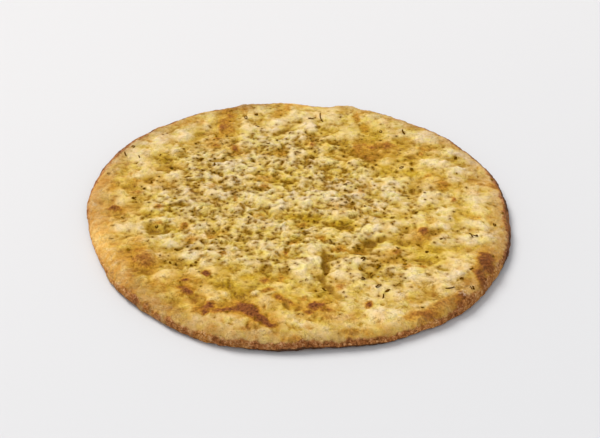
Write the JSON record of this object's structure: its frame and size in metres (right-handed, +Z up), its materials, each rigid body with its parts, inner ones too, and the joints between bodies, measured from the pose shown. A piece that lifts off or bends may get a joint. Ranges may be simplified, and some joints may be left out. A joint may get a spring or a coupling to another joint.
{
  "type": "round focaccia",
  "caption": "Round thin focaccia flatbread with a dimpled, oiled and blistered golden top, a browned rolled rim and dried oregano scattered over the crust.",
  "frame": {"origin": "On the surface the loaf rests on, under the middle of the loaf's outline box.", "axes": "+Z up out of the oiled top crust, which is also the shortest extent. X and Y lie in the resting plane: +X to the right and -Y towards the side whose rim is browned darkest."},
  "size_m": [0.3006, 0.2964, 0.0141],
  "materials": {
    "crust": "matte baked crust with glossy oiled hollows",
    "oregano": "matte, dry"
  },
  "bodies": {
    "root": {"loaf": "crust", "oregano_leaf_01": "oregano", "oregano_leaf_02": "oregano", "oregano_leaf_03": "oregano", "oregano_leaf_04": "oregano", "oregano_leaf_05": "oregano", "oregano_leaf_06": "oregano", "oregano_leaf_07": "oregano", "oregano_leaf_08": "oregano", "oregano_leaf_09": "oregano", "oregano_leaf_10": "oregano", "oregano_leaf_11": "oregano", "oregano_leaf_12": "oregano", "oregano_leaf_13": "oregano", "oregano_leaf_14": "oregano", "oregano_leaf_15": "oregano", "oregano_leaf_16": "oregano", "oregano_leaf_17": "oregano", "oregano_leaf_18": "oregano", "oregano_leaf_19": "oregano", "oregano_leaf_20": "oregano", "oregano_leaf_21": "oregano", "oregano_leaf_22": "oregano", "oregano_leaf_23": "oregano", "oregano_leaf_24": "oregano", "oregano_leaf_25": "oregano", "oregano_leaf_26": "oregano", "oregano_leaf_27": "oregano", "oregano_leaf_28": "oregano", "oregano_leaf_29": "oregano", "oregano_sprig_01": "oregano", "oregano_stem_01": "oregano", "oregano_stem_02": "oregano", "oregano_stem_03": "oregano", "oregano_stem_04": "oregano", "oregano_stem_05": "oregano", "oregano_stem_06": "oregano"}
  },
  "joints": []
}
